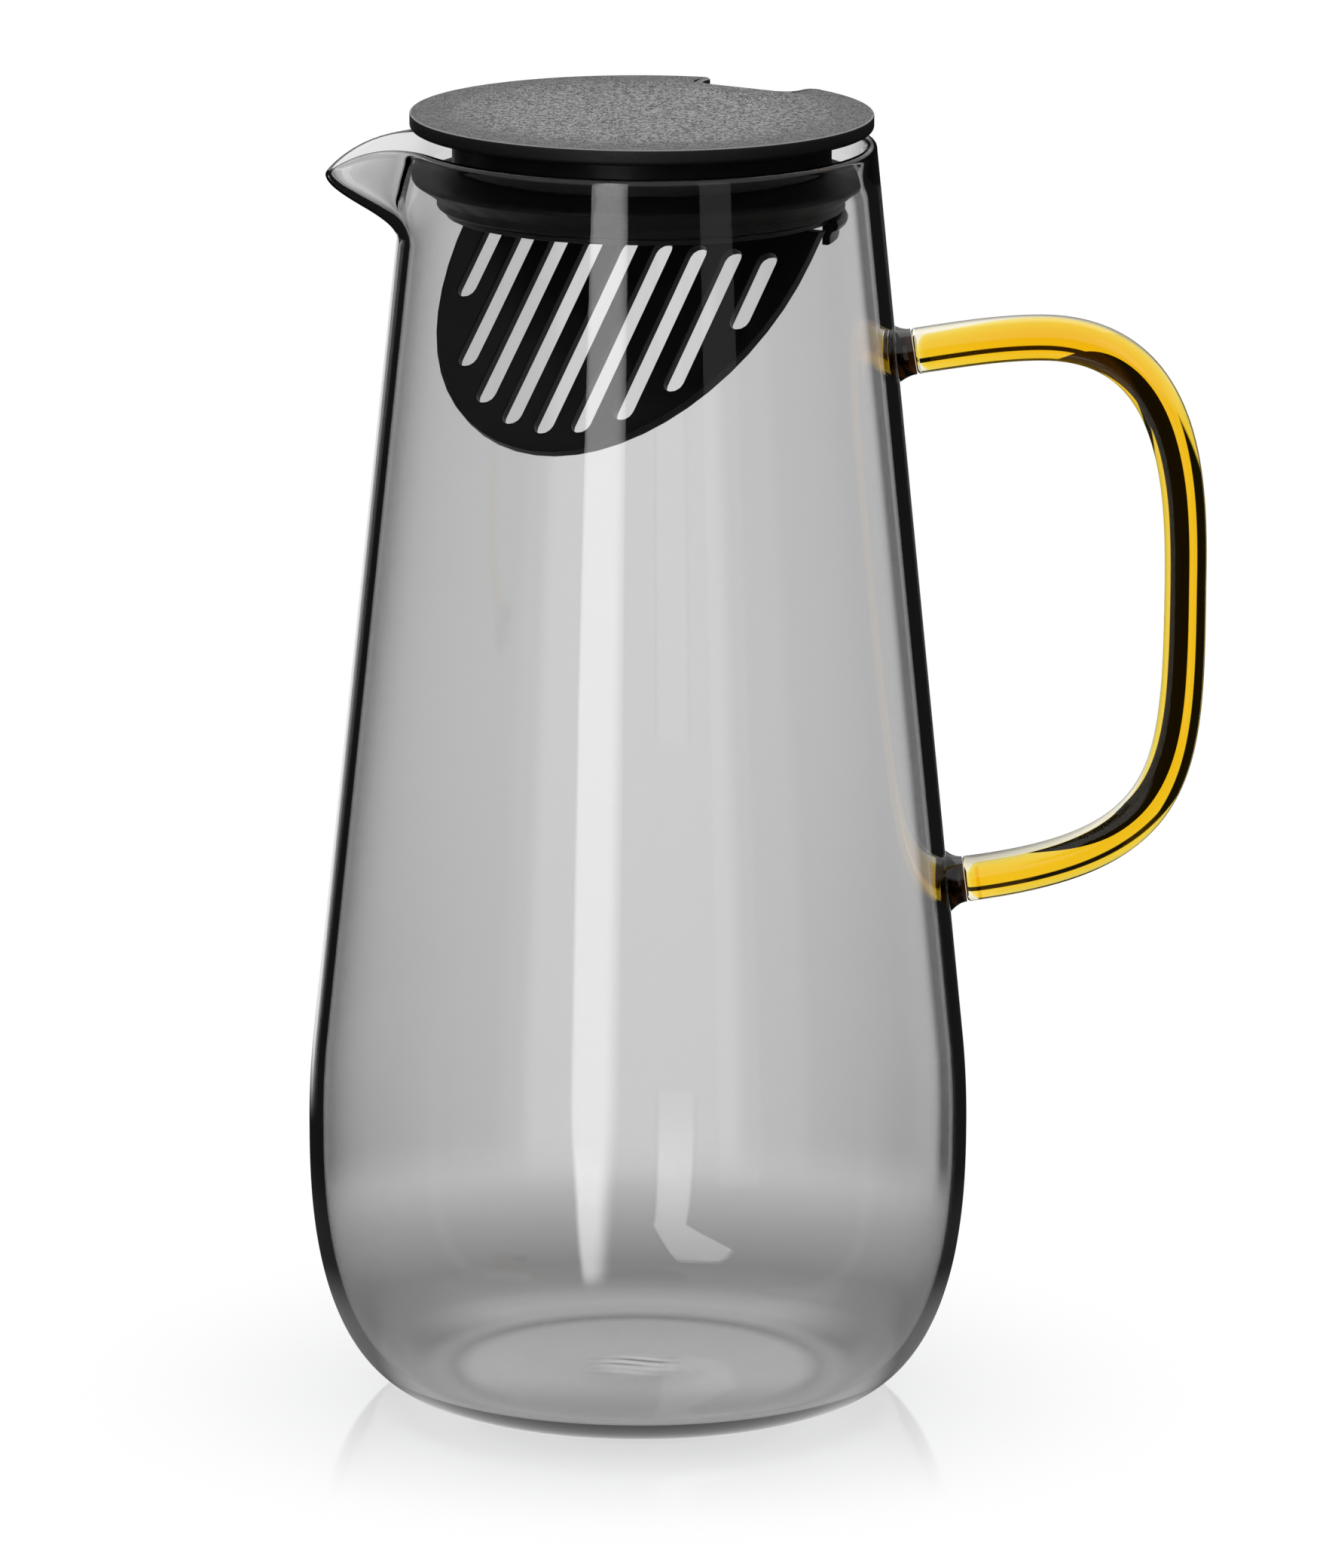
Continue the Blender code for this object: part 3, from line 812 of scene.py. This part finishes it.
def smoothCopy(name, node, material, body):
    # A node whose form is right, with its facets joined, its edges broken and its round faces shaded smooth
    s = moulding
    mesh = nodes[node].data.copy()
    work = bmesh.new()
    work.from_mesh(mesh)
    bmesh.ops.remove_doubles(work, verts=work.verts, dist=s["joinDistance"])
    flat = math.radians(s["flatAngle"])
    bmesh.ops.dissolve_limit(work, angle_limit=flat, verts=work.verts, edges=work.edges)
    work.to_mesh(mesh)
    work.free()
    mesh.name = name
    mesh.materials.clear()
    mesh.materials.append(material)
    mesh.shade_smooth()
    mesh.set_sharp_from_angle(angle=math.radians(s["sharpAngle"]))
    piece = bpy.data.objects.new(name, mesh)
    bpy.context.scene.collection.objects.link(piece)
    bevel = piece.modifiers.new("edges", "BEVEL")
    bevel.width = s["edges"][name]
    bevel.segments = s["edgeSegments"]
    bevel.limit_method = "ANGLE"
    bevel.angle_limit = math.radians(s["sharpAngle"])
    bevel.harden_normals = True
    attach(piece, body)
    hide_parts(node)
    print("made", name)
    return piece


smoke = blownGlass("smokeGlass", smokeFinish)
fused = blownGlass("weldGlass", weldFinish)
buildJug(smoke)
rodPieces = [
    buildRod("handleRod", blownGlass("casingGlass", casingFinish), rod["casing"]),
    buildRod("handleCore", amberCore(), rod["core"]),
]
buildWeld("upperWeld", "upper_handle_weld", rod["upperHeight"], rod["upperAngle"], weld["upperRadius"], fused)
buildWeld("lowerWeld", "lower_handle_weld", rod["lowerHeight"], rod["lowerAngle"], weld["lowerRadius"], fused)
buildCap(sparkedPlasticPaintedLight())
moulded = satinBlack("mouldedPlastic", plugFinish)
silicone = satinBlack("siliconeRubber", rubberFinish)
smoothCopy("lidPlug", "lid_plug", moulded, "lid")
smoothCopy("strainerPlate", "strainer", moulded, "lid")
smoothCopy("sealRing", "seal_ring", silicone, "seal")
print("object dressed")


# What the stage asks of a ray: one of Light Path's counts, and the number that it has to pass
rayTests = {
    "mirrored": ("Glossy Depth", 0.5),
    "inGlass": ("Transmission Depth", 0.5),
    "throughJug": ("Transmission Depth", 3.5),  # both faces of both walls
    "throughCore": ("Transparent Depth", 1.5),  # both faces of the rod's core
}


def lightPath(wires, output):
    return wires.node("ShaderNodeLightPath", None, None, output)


def rayTest(wires, name):
    output, count = rayTests[name]
    return lightPath(wires, output) > count


def raySees(wires):
    # 1 for rays that show the stage, straight or in gloss and glass, and 0 for those that only light things
    kinds = ("Is Camera Ray", "Is Glossy Ray", "Is Transmission Ray")
    camera, glossy, glass = (lightPath(wires, kind) for kind in kinds)
    return wires.math("MINIMUM", camera + glossy + glass, 1)


def glow(wires, level):
    return wires.node("ShaderNodeEmission", None, {"Color": level})


def mixed(wires, share, first, second):
    return wires.node("ShaderNodeMixShader", None, {0: share, 1: first, 2: second})


stage = {
    "floorRadius": 0.2,
    "floorSides": 96,
    "floorDrop": 0.0001,
    "matte": (0.82, 0.83, 0.84),
    "shadowShare": 0.2,
    "shadow": (0.05, 0.12),
    "mirrorTone": (0.97, 0.985, 1),
    "mirrorRoughness": 0.06,
    "mirrorShare": 0.24,
    "mirror": (0.045, 0.105),
    # how bright the table looks through the glass, by share of the floor's radius: the foot's own shade,
    # a dark ring along its edge, the light that the heel gathers, and the jug's shadow beyond
    "behind": ((0, 1.0), (0.020, 1.0), (0.042, 0.64), (0.130, 0.67), (0.162, 0.64), (0.180, 0.22),
               (0.200, 0.62), (0.240, 0.72), (0.270, 0.60), (0.300, 0.46), (0.338, 0.42), (0.420, 0.36),
               (0.500, 0.45), (0.600, 0.57), (0.700, 0.72), (0.800, 0.88), (0.900, 0.93), (1, 0.98)),
    # the same is darker at both sides of the heel, in degrees from the front or the back, and in front
    "sideEdge": (30, 74),
    "sideLoss": 0.85,
    "sideRadius": (0.034, 0.045),
    "sideEnd": (0.070, 0.120),
    "frontDepth": (0.006, 0.030),
    "frontLevel": 0.33,
    "frontRadius": (0.045, 0.070),
    # what the outside and the inside of the near wall mirror, behind the jug and in front of it
    "outerLevels": (0.2, 1.0),
    "innerLevels": (0.2, 0.5),
    # where the floor ends for what the glass mirrors, and for what is seen through the jug
    "heelRadius": (0.065, 0.11),
    "heelShare": 0.92,
    "openRadius": (0.13, 0.2),
    "endRadius": (0.140, 0.195),
}


def floorMaterial():
    # White to the camera, with a share of real light for the shadow and a faint mirror close round the jug.
    # Seen through the glass it has the jug's own shade. It thins out past the heel for what the glass
    # mirrors, and farther out for what looks through the jug, so that no edge of it shows in the glass.
    s = stage
    material, wires = newMaterial("paleFloor")
    camera = lightPath(wires, "Is Camera Ray")
    straight = 1 - rayTest(wires, "mirrored")
    through = rayTest(wires, "throughJug")
    inside = rayTest(wires, "inGlass")
    sees = raySees(wires)
    place = objectPlace(wires)
    radius = place.length()
    x, y = place.parts()[:2]

    stops = [(where, (level, level, level)) for where, level in s["behind"]]
    under = wires.node("ShaderNodeValToRGB", {"stops": stops}, {0: radius * (1 / s["floorRadius"])})
    around = wires.math("ARCTAN2", x, y) * (180 / math.pi)
    aside = wires.math("WRAP", around, 90, -90).size()  # degrees from straight in front or behind
    sides = aside.between(*s["sideEdge"]) * radius.between(*s["sideRadius"])
    sides = sides * (1 - radius.between(*s["sideEnd"]))
    front = (0 - y).between(*s["frontDepth"])
    near = front * (1 - radius.between(*s["frontRadius"]))
    under = under * (1 - near) + near * s["frontLevel"]
    under = under * (1 - sides * s["sideLoss"])

    def frontOrBack(levels):
        return front * (levels[1] - levels[0]) + levels[0]

    wallSees = inside * frontOrBack(s["innerLevels"]) + (1 - inside) * frontOrBack(s["outerLevels"])
    bent = through + (1 - through) * wallSees
    level = camera + (1 - camera) * (straight * under + (1 - straight) * bent)

    shade = (1 - radius.between(*s["shadow"])) * s["shadowShare"]
    mirror = (1 - radius.between(*s["mirror"])) * s["mirrorShare"]
    matte = wires.node("ShaderNodeBsdfDiffuse", None, {"Color": (*s["matte"], 1)})
    polish = {"Color": (*s["mirrorTone"], 1), "Roughness": s["mirrorRoughness"]}
    gloss = wires.node("ShaderNodeBsdfGlossy", None, polish)
    bright = mixed(wires, sees * (1 - shade * camera), matte, glow(wires, level))
    both = mixed(wires, mirror * camera, bright, gloss)

    clear = radius.between(*s["heelRadius"]) * s["heelShare"]
    clear = clear + radius.between(*s["openRadius"]) * (1 - s["heelShare"])
    clear = (1 - straight) * (1 - through) * clear + through * straight * radius.between(*s["endRadius"])
    finishMaterial(wires, mixed(wires, sees * (1 - camera) * clear, both, nothing(wires)))
    return material


def buildFloor():
    mesh = bpy.data.meshes.new("floor")
    work = bmesh.new()
    bmesh.ops.create_circle(work, cap_ends=True, radius=stage["floorRadius"], segments=stage["floorSides"])
    work.to_mesh(mesh)
    work.free()
    mesh.materials.append(floorMaterial())
    floor = bpy.data.objects.new("floor", mesh)
    bpy.context.scene.collection.objects.link(floor)
    floor.location.z = -stage["floorDrop"]


# The studio round the glass, in degrees. Seen through both walls it is a pale backdrop with a soft bright
# line, darker at its edges, that comes again every 45 degrees. The rod's core shows cards of its own, and
# what mirrors shows a dark room with a backdrop and a ceiling.
studio = {
    "every": 45,
    "zenith": 1.05,
    "horizon": 0.3,
    "skyRise": (0, 60),
    "ceiling": 0.85,
    "ceilingEdge": (6, 16),
    "gap": 0.012,
    "backdrop": (-17, 4, 2),  # from, to and softness
    "backdropHeight": (-13.8, -5, 0.8),
    "bodyLevel": 0.885,
    "bodyLeft": (4.5, 15),
    "bodyLeftLoss": 0.385,
    "bodyRight": (5, 9),
    "bodyRightGain": 0.17,
    "bodyRightEdge": (9.2, 12.2),
    "bodyRightLoss": 0.9,
    "bodyEnd": (15.5, 18.5),
    "glow": (-1.25, 1.1, 0.14),
    "glowLevel": 0.13,
    "glowSide": (-1.6, 2.1, 0.14),
    "glowSideLevel": 0.045,
    "bodyLow": (-15.5, -12),
    "bodyLowLoss": 0.065,
    "bodyLowSide": (0.5, 5),
    "bodyLowSideLoss": 0.15,
    "rodEvery": 180,
    "rodCard": (-20, 88, 1),
    "rodLow": -20,
    "rodDark": 2.6,
    "rodBright": (12, 42, 1),
    "rodSoftness": 1,
    "rodGap": 0.008,
}


def bodyBackdrop(wires, azimuth, elevation):
    # What is seen straight through both walls of the jug
    s = studio
    wrapped = wires.math("WRAP", azimuth, s["every"] / 2, -s["every"] / 2)
    aside = wrapped.size()
    change = wrapped.between(*s["bodyRight"]) * s["bodyRightGain"]
    change = change - (0 - wrapped).between(*s["bodyLeft"]) * s["bodyLeftLoss"]
    change = change - wrapped.between(*s["bodyRightEdge"]) * s["bodyRightLoss"]
    seen = change * (1 - aside.between(*s["bodyEnd"])) + s["bodyLevel"]
    seen = seen + wrapped.band(*s["glow"]) * s["glowLevel"]
    seen = seen + wrapped.band(*s["glowSide"]) * s["glowSideLevel"]
    low = 1 - elevation.between(*s["bodyLow"])
    return seen - low * (aside.between(*s["bodyLowSide"]) * s["bodyLowSideLoss"] + s["bodyLowLoss"])


def rodCards(wires, azimuth, elevation):
    # What is seen through the rod's core
    s = studio
    wrapped = wires.math("WRAP", azimuth, s["rodEvery"] / 2, -s["rodEvery"] / 2)
    middle = elevation.band(s["rodLow"], s["rodDark"], s["rodSoftness"])
    seen = middle * wrapped.band(*s["rodCard"]) + (1 - elevation.step(s["rodLow"], s["rodSoftness"]))
    seen = seen + elevation.band(*s["rodBright"])
    return seen * (1 - s["rodGap"]) + s["rodGap"]


def buildWorld():
    s = studio
    world = bpy.data.worlds.new("studio")
    bpy.context.scene.world = world
    world.use_nodes = True
    world.node_tree.nodes.clear()
    wires = Wire(world.node_tree)
    x, y, z = wires.node("ShaderNodeTexCoord", None, None, "Generated").parts()
    azimuth = wires.math("ARCTAN2", x, y) * (180 / math.pi)
    elevation = wires.math("ARCSINE", z) * (180 / math.pi)
    camera = lightPath(wires, "Is Camera Ray")
    straight = 1 - rayTest(wires, "mirrored")
    through = rayTest(wires, "throughJug")
    core = rayTest(wires, "throughCore")
    sees = raySees(wires)

    # what crosses a single wall, such as the spout's, sees plain white
    single = core * rodCards(wires, azimuth, elevation) + (1 - core)
    straightSees = through * bodyBackdrop(wires, azimuth, elevation) + (1 - through) * single
    backdrop = azimuth.band(*s["backdrop"]) * elevation.band(*s["backdropHeight"])
    ceiling = elevation.between(*s["ceilingEdge"]) * s["ceiling"]
    mirrorSees = wires.math("MAXIMUM", ceiling, backdrop) + s["gap"]
    bentSees = through + (1 - through) * mirrorSees
    level = camera + (1 - camera) * (straight * straightSees + (1 - straight) * bentSees)
    ambient = elevation.between(*s["skyRise"]) * (s["zenith"] - s["horizon"]) + s["horizon"]
    background = wires.node("ShaderNodeBackground", None, {"Color": sees * level + (1 - sees) * ambient})
    wires.node("ShaderNodeOutputWorld", None, {"Surface": background})


# The tall soft light beside the camera that draws the highlight down the body: (across, height), in metres.
# Below the top the outside of the near wall mirrors it, with a foot that narrows for the heel. Behind and
# tail are what the far wall mirrors of it, seen through the near one.
tallCard = {
    "side": -15.1,
    "distance": 1.15,
    "outline": ((-0.172, -0.56), (0.172, -0.56), (0.172, 1.9), (-0.72, 1.9), (-0.72, 0.68), (-0.172, 0.68)),
    "level": 3.5,
    "top": 1.05,
    "foot": ((0.172, 0.30), (0.02, -0.56)),
    "footSoftness": 0.075,
    "footLeft": ((-0.172, 0.12), (-0.085, -0.46)),
    "footLeftSoftness": 0.01875,
    "footFade": (-0.53, -0.42),
    "footGain": 0.7,
    "footGainHeight": (-0.25, -0.05),
    "behind": (-0.12, 0.15, 0.025),
    "behindFade": (-0.25, 0.4),
    "behindLoss": 0.75,
    "behindGain": 1.7,
    "tail": ((-0.12, 0.70), (-0.62, 1.10)),
    "tailRight": ((0.17, 0.70), (-0.02, 1.30)),
    "tailSoftness": 0.025,
    "tailEnd": (1.75, 0.03),
    "edgeSoftness": 0.01,
    "leftSoftness": 0.002,
    "dark": 0.01,  # the card is open where it is dimmer than this
}


def cardMaterial():
    s = tallCard
    material, wires = newMaterial("tallCard")
    across, height = objectPlace(wires).parts()[::2]
    edge = s["edgeSoftness"]

    def rightOf(ends):
        # how far a point lies to the right of a sloping line through two (across, height) points
        (x0, z0), (x1, z1) = ends
        return across - (height - z0) * ((x1 - x0) / (z1 - z0)) - x0

    right = rightOf(s["foot"]).step(0, s["footSoftness"]) * (1 - height.step(s["foot"][0][1], edge))
    left = rightOf(s["footLeft"]).step(0, s["footLeftSoftness"])
    aboveFoot = height.step(s["footLeft"][0][1], edge)
    direct = (1 - right) * (aboveFoot + (1 - aboveFoot) * left)
    direct = direct * across.step(s["outline"][0][0], s["leftSoftness"])
    direct = direct * (1 - height.step(s["top"], edge)) * height.between(*s["footFade"])
    direct = direct * ((1 - height.between(*s["footGainHeight"])) * s["footGain"] + 1)

    tail = rightOf(s["tail"]).step(0, s["tailSoftness"])
    tail = tail * (1 - rightOf(s["tailRight"]).step(0, s["tailSoftness"]))
    tail = tail * (1 - height.step(*s["tailEnd"]))
    inTail = height.step(s["tail"][0][1], edge)
    behind = inTail * tail + (1 - inTail) * across.band(*s["behind"])
    behind = behind * (1 - (1 - height.between(*s["behindFade"])) * s["behindLoss"]) * s["behindGain"]

    through = rayTest(wires, "throughJug")
    front = 1 - wires.node("ShaderNodeNewGeometry", None, None, "Backfacing")
    level = (through * behind + (1 - through) * direct) * front * s["level"]
    finishMaterial(wires, mixed(wires, level > s["dark"], nothing(wires), glow(wires, level)))
    return material


def standCard(name, settings, material):
    # An upright flat card that faces the jug and is seen only in what mirrors or bends the light
    outline = settings["outline"]
    mesh = bpy.data.meshes.new(name)
    mesh.from_pydata([(x, 0, z) for x, z in outline], [], [tuple(range(len(outline)))])
    if mesh.polygons[0].normal.y < 0:
        mesh.flip_normals()
    mesh.materials.append(material)
    card = bpy.data.objects.new(name, mesh)
    bpy.context.scene.collection.objects.link(card)
    turn, distance = math.radians(settings["side"]), settings["distance"]
    card.location = (math.sin(turn) * distance, -math.cos(turn) * distance, 0)
    card.rotation_euler.z = turn
    card.visible_camera = False
    card.visible_diffuse = False
    card.visible_shadow = False
    return card


def buildTallCard():
    card = standCard("tallCard", tallCard, cardMaterial())
    # the rod stands behind a flag of its own, so this light leaves it out
    shut = bpy.data.collections.new("outOfTallLight")
    for piece in rodPieces:
        shut.objects.link(piece)
    card.light_linking.receiver_collection = shut
    for member in shut.collection_objects:
        member.light_linking.link_state = "EXCLUDE"


# The black flag behind the rod's upright part, which is seen only through the rod's core
flag = {
    "side": 180,
    "distance": 0.12,
    "outline": ((-0.19, -0.1), (-0.0967, -0.1), (-0.0967, 0.4), (-0.19, 0.4)),
}


def flagMaterial():
    material, wires = newMaterial("blackFlag")
    inRod = rayTest(wires, "inGlass") - rayTest(wires, "throughJug")
    core = (1 - rayTest(wires, "mirrored")) * rayTest(wires, "throughCore")
    black = glow(wires, (studio["rodGap"], studio["rodGap"], studio["rodGap"], 1))
    finishMaterial(wires, mixed(wires, inRod * core, nothing(wires), black))
    return material


# The lamps face the jug's axis at a height. Degrees run round from the camera's side.
stripLamp = {
    "side": 35,
    "distance": 1.15,
    "height": 0.405,
    "aimHeight": 0.15,
    "size": (0.32, 1.33),
    "level": 0.5,
    "lightsMatte": False,
}

overheadLamp = {
    "side": 180,
    "distance": 0.55,
    "height": 1.2,
    "aimHeight": 0.15,
    "size": (1.4, 0.9),
    "level": 1.2,
    "lightsMatte": True,
}


def buildLamp(name, lamp):
    light = bpy.data.lights.new(name, "AREA")
    light.shape = "RECTANGLE"
    light.size, light.size_y = lamp["size"]
    light.energy = lamp["level"] * math.pi * lamp["size"][0] * lamp["size"][1]
    holder = bpy.data.objects.new(name, light)
    bpy.context.scene.collection.objects.link(holder)
    turn, distance = math.radians(lamp["side"]), lamp["distance"]
    place = Vector((math.sin(turn) * distance, -math.cos(turn) * distance, lamp["height"]))
    holder.location = place
    aim = Vector((0, 0, lamp["aimHeight"])) - place
    holder.rotation_euler = aim.to_track_quat("-Z", "Y").to_euler()
    holder.visible_camera = False
    holder.visible_transmission = False
    holder.visible_diffuse = lamp["lightsMatte"]


buildFloor()
buildWorld()
buildTallCard()
standCard("blackFlag", flag, flagMaterial())
buildLamp("stripRight", stripLamp)
buildLamp("overhead", overheadLamp)
print("stage lit")
